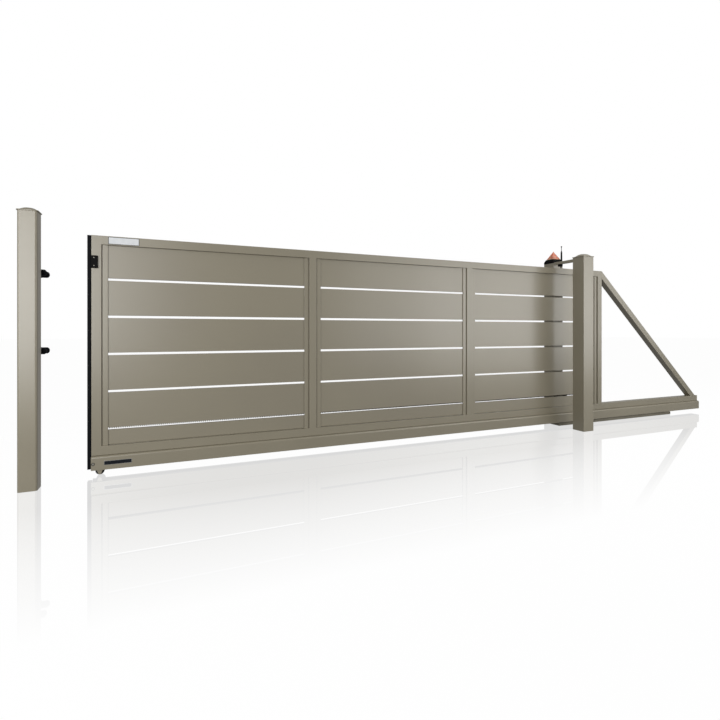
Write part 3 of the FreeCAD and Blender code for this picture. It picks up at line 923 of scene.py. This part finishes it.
@dataclass
class CarryingRail(SubAssembly):
    """The channel under the leaf and the small things on its face."""

    top_round: float = 12.0
    foot_round: float = 1.2
    wall: float = 5.0
    slot_width: float = 30.0
    notch: float = 90.0
    plate: tuple[Point, Point] = ((-3814.0, 64.5), (-3663.0, 86.5))
    screw: Point = (-3875.0, 74.0)
    washer: tuple[Point, ...] = ((0.5, 9.5), (-0.8, 9.5), (-1.4, 8.8), (-1.4, 0.3))
    head: tuple[Point, ...] = ((-1.2, 7.0), (-2.4, 7.0), (-3.2, 6.0), (-3.2, 3.2), (-2.2, 3.0), (-2.2, 0.3))

    def build(self) -> None:
        """Build the channel, the nameplate and the screw."""
        low, high = corner_box("carrying_rail")
        self.add("rail_channel", self.channel(low, high), POWDER_COAT, Slot.PAINT, ("carrying_rail",))
        self.add_plate(low[1], self.plate, 2.0, (
            ("name_plate_rim", 1.8, 0.8, MILL_ALUMINIUM, Slot.ALUMINIUM),
            ("name_plate_bare", 0.0, 1.4, BLACK_PLATE, Slot.PLASTIC)))
        place = (self.screw[0], low[1], self.screw[1])
        self.add("rail_screw_washer", Shape().lathe(self.washer, Axis.Y, place, 32).mesh(), MOULDED_BLACK,
                 Slot.PLASTIC)
        self.add("rail_screw", Shape().lathe(self.head, Axis.Y, place, 32).mesh(), ZINC_STEEL, Slot.STEEL)

    def channel(self, low: Vector, high: Vector) -> Mesh:
        """Build the channel with its lips cut back at the leading end.

        Args:
            low: Lowest corner of the rail.
            high: Highest corner of the rail.

        Returns:
            The mesh.
        """
        lip, wall, top = (high[1] - low[1] - self.slot_width) / 2, self.wall, self.top_round
        past, above = 5.0, 2.0
        outer = rounded(low[1:], high[1:], (self.foot_round, self.foot_round, top, top), 10)
        inner = rounded((low[1] + wall, low[2] + wall), (high[1] - wall, high[2] - wall),
                        (0.0, 0.0, top - wall, top - wall), 6)
        near, far = low[1] + lip, high[1] - lip
        split = next(i for i, point in enumerate(outer) if point[0] > near)
        outline = [(far, low[2]), *outer[split:], *outer[:split], (near, low[2]), (near, low[2] + wall),
                   inner[0], *inner[:1:-1], inner[1], (far, low[2] + wall)]
        body = Shape().prism(outline, Axis.X, low[0], high[0])
        tool = Shape().block((low[0] - past, low[1] + wall, low[2] - past),
                             (low[0] + self.notch, high[1] - wall, low[2] + wall + above))
        return carved(body.mesh(), tool.mesh())


@dataclass
class LeadingEdge(SubAssembly):
    """The safety edge, its sensor box and the bare label plate near it."""

    slot_clearance: float = 0.3
    nose_back: float = 1.5
    nose_corner: float = 5.0
    rib: float = 1.4
    rib_places: tuple[float, ...] = (11.0, 21.0, 31.0)
    flange: float = 4.0
    box_corner: float = 3.0
    box_edge: float = 0.8
    lid_seam: float = 4.0
    lid_inset: float = 1.0
    lid_height: float = 0.8
    screw_inset: float = 14.0
    screw_shift: float = -2.0
    screw: tuple[Point, ...] = ((0.6, 3.6), (-0.2, 3.6), (-0.7, 2.8), (-0.7, 1.4), (0.2, 1.2), (0.2, 0.2))
    plate: tuple[Point, Point] = ((-3791.0, 1436.5), (-3622.0, 1477.0))

    def build(self) -> None:
        """Build the rubber strip, the sensor box and the plate."""
        self.build_strip()
        self.build_box()
        self.add_plate(corner_box("bottom_rail")[0][1], self.plate, 2.5, (
            # The black plate behind the label is painted shadow: a dark rim around the bare label plate.
            ("label_plate_backing", 2.6, 0.8, BLACK_PLATE, Slot.PLASTIC),
            ("label_plate_bare", 0.0, 1.6, SILVER_PLATE_SHADOW_EDGED, Slot.ALUMINIUM)))

    def build_strip(self) -> None:
        """Build the ribbed rubber profile around its holder."""
        low, high = corner_box("edge_strip")
        holder_low, holder_high = corner_box("edge_strip_holder")
        nose, root, width = low[0] + self.nose_back, high[0] - self.flange, high[1] - low[1]
        gap, rib, corner = self.slot_clearance, self.rib, self.nose_corner
        skin = [(high[0], 0.0), (root, 0.0), (root - rib, rib), (root - 2 * rib, 0.0)]
        skin += arc((nose + corner, corner), corner, 270, 180, 6)
        for place in self.rib_places:
            skin += [(nose, place - rib), (nose + rib, place), (nose, place + rib)]
        skin += arc((nose + corner, width - corner), corner, 180, 90, 6)
        skin.append((high[0], width))
        outline = [(x, low[1] + y) for x, y in skin]
        outline += [(high[0], holder_high[1] + gap), (holder_low[0] - gap, holder_high[1] + gap),
                    (holder_low[0] - gap, holder_low[1] - gap), (high[0], holder_low[1] - gap)]
        self.add("edge_rubber", Shape().prism(outline, Axis.Z, low[2], high[2]).mesh(), EDGE_RUBBER,
                 Slot.RUBBER, ("edge_strip",))

    def build_box(self) -> None:
        """Build the sensor box with its lid and two screws."""
        low, high = corner_box("edge_sensor_box")
        seam, inset, lid = low[1] + self.lid_seam, self.lid_inset, low[1] + self.lid_height
        shape = Shape().block((low[0], seam, low[2]), high, Axis.Y, self.box_corner, 5)
        shape.block((low[0] + inset, lid, low[2] + inset),
                    (high[0] - inset, seam + SUNK, high[2] - inset), Axis.Y, self.box_corner, 5)
        self.add("sensor_case", shape.mesh(), MOULDED_BLACK, Slot.PLASTIC, ("edge_sensor_box",),
                 self.box_edge)
        head = Shape().lathe(self.screw, Axis.Y, (0, 0, 0), 24).mesh()
        start = ((low[0] + high[0]) / 2 + self.screw_shift, lid, low[2] + self.screw_inset)
        step = (0, 0, high[2] - low[2] - 2 * self.screw_inset)
        self.add("sensor_screws", ROW.copies(head, 2, start, step, ZINC_STEEL), ZINC_STEEL, Slot.STEEL)


@dataclass
class Rack(SubAssembly):
    """The toothed rack on the back of the leaf."""

    module: float = 4.0
    depth: float = 9.0
    pressure: float = 20.0
    play: float = 0.5
    chamfer: float = 0.4

    def build(self) -> None:
        """Build the bar and its teeth."""
        low, high = corner_box("rack")
        pitch = math.pi * self.module
        count = int(round((high[0] - low[0]) / pitch))
        slope = math.tan(math.radians(self.pressure))
        tip = pitch / 4 - self.module * slope - self.play / 2
        root = tip + self.depth * slope
        side = [(tip - self.chamfer, 0.0), (tip, self.chamfer), (root, self.depth), (root, self.depth + SUNK)]
        outline = [(-x, z) for x, z in reversed(side)] + side
        tooth = Shape().prism(outline, Axis.Y, 0, high[1] - low[1]).mesh()
        # The rack's dark colour is partly painted shade from the boards in front of it.
        teeth = ROW.copies(tooth, count, (low[0] + pitch / 2, low[1], low[2]), (pitch, 0, 0), RACK_STEEL_SHADED)
        bar = Shape().block((low[0], low[1], low[2] + self.depth), high)
        self.add("rack_teeth", joined(teeth, bar.mesh()), RACK_STEEL_SHADED, Slot.STEEL, ("rack",))


@dataclass
class EndRoller(SubAssembly):
    """The wheel at the leading end of the rail and the bracket that holds it."""

    nose_radius: float = 9.0
    nose_drop: float = 13.0
    nose_span: Point = (200.0, 340.0)
    cheek: float = 4.0
    cheek_waist: float = 4.0
    axle_radius: float = 6.0
    axle_play: float = 0.3
    axle_inset: float = 0.2
    shoulder: float = 3.0
    chamfer: float = 0.8
    edge: float = 0.8

    def build(self) -> None:
        """Build the wheel and its bracket."""
        low, high = corner_box("end_roller")
        centre = ((low[0] + high[0]) / 2, low[1], (low[2] + high[2]) / 2)
        wide, radius = high[1] - low[1], (high[2] - low[2]) / 2
        half = [(0, self.axle_radius + self.axle_play), (0, radius - self.shoulder),
                (self.chamfer, radius - self.chamfer), (self.shoulder, radius)]
        profile = half + [(wide - along, reach) for along, reach in reversed(half)]
        wheel = Shape().lathe(profile, Axis.Y, centre, 48, bored=True)
        SubAssembly("end_roller_body").add("end_wheel", wheel.mesh(), WHEEL_NYLON, Slot.PLASTIC,
                                           ("end_roller",))
        self.build_bracket(centre[0], centre[2])

    def build_bracket(self, along: float, level: float) -> None:
        """Build the two cheeks, the web and the axle.

        Args:
            along: Place of the axle along X.
            level: Height of the axle.
        """
        low, high = corner_box("end_roller_bracket")
        waist, cheek, inset = level + self.cheek_waist, self.cheek, self.axle_inset
        outline = arc((along, level - self.nose_drop), self.nose_radius, *self.nose_span, 14)
        outline += [(high[0], waist), (high[0], high[2]), (low[0], high[2]), (low[0], waist)]
        shape = Shape()
        for side in (low[1], high[1] - cheek):
            shape.prism(outline, Axis.Y, side, side + cheek)
        shape.block((low[0], low[1] + cheek, high[2] - cheek), (high[0], high[1] - cheek, high[2]))
        shape.lathe([(inset, self.axle_radius), (high[1] - low[1] - inset, self.axle_radius)], Axis.Y,
                    (along, low[1], level), 32)
        self.add("end_bracket", shape.mesh(), POWDER_COAT, Slot.PAINT, ("end_roller_bracket",), self.edge)


@dataclass
class Carried:
    """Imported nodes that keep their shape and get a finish."""

    finishes: dict[str, Finish]

    def build(self) -> None:
        """Give each node its finish."""
        for node, finish in self.finishes.items():
            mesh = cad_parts[node].data
            mesh.materials.clear()
            mesh.materials.append(finish.material())
            LOG.info("%s dressed as %s", node, finish.name)


@dataclass(frozen=True)
class SoftBox:
    """A square soft light, with its place and aim in metres and its power in watts."""

    name: str
    place: Point3
    aim: Point3
    side: float
    power: float


@dataclass
class Studio:
    """Floor, light and camera. Lengths are in metres."""

    floor_half: float = 60.0
    floor_drop: float = 0.001
    floor_white: float = 0.975
    gate_line: float = 0.2
    gloss_reach: Point = (0.5, 1.65)
    gloss: float = 0.3
    surround: float = 0.35
    mirrored: float = 0.42
    boxes: tuple[SoftBox, ...] = (
        SoftBox("soft_box_left", (-5.6, -3.4, 1.4), (-3.9, 0.2, 1.0), 2.3, 72.0),
        SoftBox("soft_box_left_inner", (-4.6, -3.6, 1.5), (-3.9, 0.2, 1.0), 2.2, 27.0),
        SoftBox("soft_box_left_outer", (-7.2, -2.6, 1.6), (-3.9, 0.2, 1.0), 2.2, 42.0),
        SoftBox("soft_box_right", (1.7, -2.9, 1.3), (-0.3, 0.2, 1.1), 2.2, 41.0),
        SoftBox("soft_box_right_inner", (-0.2, -2.6, 1.35), (-0.6, 0.2, 1.1), 1.8, 15.0),
        SoftBox("soft_box_right_outer", (4.0, -2.9, 1.4), (-0.3, 0.2, 1.0), 2.0, 23.0),
        SoftBox("soft_box_top", (0.6, -0.7, 3.6), (0.4, 0.1, 0.5), 3.4, 36.0),
    )
    camera_place: Point3 = (-3.4495, -3.01175, 0.8915)
    camera_turn: float = -22.79
    focal_length: float = 22.80
    sensor_width: float = 36.0
    shift: Point = (0.0003, -0.0401)

    def build(self) -> None:
        """Build the studio."""
        self.build_floor()
        self.build_world()
        self.build_lights()
        self.build_camera()

    def build_floor(self) -> None:
        """Lay the pale floor, which keeps the shadow and a faint mirror image and melts into the backdrop."""
        half = self.floor_half
        sheet = [(x * half, y * half, -self.floor_drop) for x, y in ((-1, -1), (1, -1), (1, 1), (-1, 1))]
        mesh = bpy.data.meshes.new("floor")
        mesh.from_pydata(sheet, [], [(0, 1, 2, 3)])
        material = bpy.data.materials.new("pale_floor")
        material.use_nodes = True
        tree = material.node_tree
        tree.nodes.clear()
        path = add_node(tree, "ShaderNodeLightPath").outputs
        seen = path["Is Camera Ray"]
        level = add_node(tree, "ShaderNodeMath", {0: path["Is Glossy Ray"], 1: self.mirrored, 2: seen},
                         operation="MULTIPLY_ADD")
        matt = add_node(tree, "ShaderNodeBsdfDiffuse", {"Color": linear("#FAFAFA")})
        white = add_node(tree, "ShaderNodeEmission", {"Color": (1, 1, 1, 1), "Strength": level})
        pale = add_node(tree, "ShaderNodeMixShader", {0: self.floor_white, 1: matt, 2: white})
        mirror = add_node(tree, "ShaderNodeBsdfGlossy", {"Color": (1, 1, 1, 1), "Roughness": 0.0})
        place = add_node(tree, "ShaderNodeTexCoord").outputs["Object"]
        across = add_node(tree, "ShaderNodeSeparateXYZ", {"Vector": place})
        offset = add_node(tree, "ShaderNodeMath", {0: across.outputs["Y"], 1: self.gate_line},
                          operation="SUBTRACT")
        away = add_node(tree, "ShaderNodeMath", {0: offset}, operation="ABSOLUTE")
        gloss = add_node(tree, "ShaderNodeMapRange", {
            "Value": away, "From Min": self.gloss_reach[0], "From Max": self.gloss_reach[1],
            "To Min": self.gloss, "To Max": 0.0})
        shown = add_node(tree, "ShaderNodeMath", {0: gloss, 1: seen}, operation="MULTIPLY")
        both = add_node(tree, "ShaderNodeMixShader", {0: shown, 1: pale, 2: mirror})
        add_node(tree, "ShaderNodeOutputMaterial", {"Surface": both})
        mesh.materials.append(material)
        floor = placed("floor", mesh)
        floor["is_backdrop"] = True

    def build_world(self) -> None:
        """Make the surroundings white to look at and in the floor's mirror, and soft as a light."""
        world = bpy.data.worlds.new("studio")
        bpy.context.scene.world = world
        world.use_nodes = True
        tree = world.node_tree
        tree.nodes.clear()
        path = add_node(tree, "ShaderNodeLightPath").outputs
        level = add_node(tree, "ShaderNodeMapRange", {
            "Value": path["Is Glossy Ray"], "To Min": self.surround, "To Max": self.mirrored})
        for ray in ("Is Camera Ray", "Is Transmission Ray", "Is Singular Ray"):
            level = add_node(tree, "ShaderNodeMath", {0: level, 1: path[ray]}, operation="MAXIMUM")
        sky = add_node(tree, "ShaderNodeBackground", {"Color": (1, 1, 1, 1), "Strength": level})
        add_node(tree, "ShaderNodeOutputWorld", {"Surface": sky})

    def build_lights(self) -> None:
        """Hang the soft boxes."""
        for box in self.boxes:
            data = bpy.data.lights.new(box.name, "AREA")
            data.size = box.side
            data.energy = box.power
            light = placed(box.name, data)
            light.location = box.place
            light.visible_camera = False
            light.rotation_euler = (Vector(box.place) - Vector(box.aim)).to_track_quat("Z", "Y").to_euler()

    def build_camera(self) -> None:
        """Stand the camera where the photograph was taken."""
        data = bpy.data.cameras.new("camera")
        data.sensor_width = self.sensor_width
        data.lens = self.focal_length
        data.shift_x, data.shift_y = self.shift
        camera = placed("camera", data)
        camera.location = self.camera_place
        camera.rotation_euler = (math.radians(90), 0, math.radians(self.camera_turn))
        bpy.context.scene.camera = camera


def corners() -> list[list[float]]:
    """Return the shown object's two corners as plain lists."""
    return [list(corner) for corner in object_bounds()]


def main() -> None:
    """Build every sub-assembly in order."""
    logging.basicConfig(level=logging.INFO, format="%(name)s: %(message)s")
    bpy.context.scene.view_settings.view_transform = "Standard"
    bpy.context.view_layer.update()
    parts = [
        SquarePost("posts", "guide_post", 3.0, "guide_post_cap"),
        SquarePost("posts", "drive_post", 3.0),
        SquarePost("posts", "catch_post", 12.0, "catch_post_cap", crown_drop=6.5),
        Block("posts", "bridge_bar", "bridge_tube", axis=Axis.Y, radii=2.5, arc_steps=5),
        Block("posts", "guide_roller_carrier", "roller_carrier_block", MOULDED_BLACK, Slot.PLASTIC,
              edge=3.0, edge_steps=3),
        Drive("posts"),
        Lamp("posts"),
        CatchFork("posts", "catch_fork_upper"),
        CatchFork("posts", "catch_fork_lower"),
        # The tray's darker paint is painted shade under the overhanging rail.
        Block("posts", "base_tray", "ground_tray", SHADED_TRAY_COAT, edge=2.0),
        LeafFrame("leaf"),
        Block("leaf", "tail_rail_cap", "tail_rail_cap_plate", axis=Axis.X, radii=2.0, arc_steps=4, edge=0.8),
        Infill("leaf", "infill_bay_1"),
        Infill("leaf", "infill_bay_2"),
        Infill("leaf", "infill_bay_3"),
        CarryingRail("leaf"),
        Block("leaf", "rail_end_cap", "rail_end_plate", axis=Axis.X, radii=(1.5, 1.5, 12.0, 12.0),
              arc_steps=8, edge=1.0),
        LeadingEdge("leaf"),
        Rack("leaf"),
        EndRoller("leaf"),
        Carried({"carriages": ZINC_STEEL, "carriage_wheels": WHEEL_NYLON, "guide_roller": WHEEL_NYLON,
                 "pinion": ZINC_STEEL, "edge_strip_holder": MILL_ALUMINIUM}),
        Studio(),
    ]
    for part in parts:
        part.build()


if __name__ == "__main__":
    main()
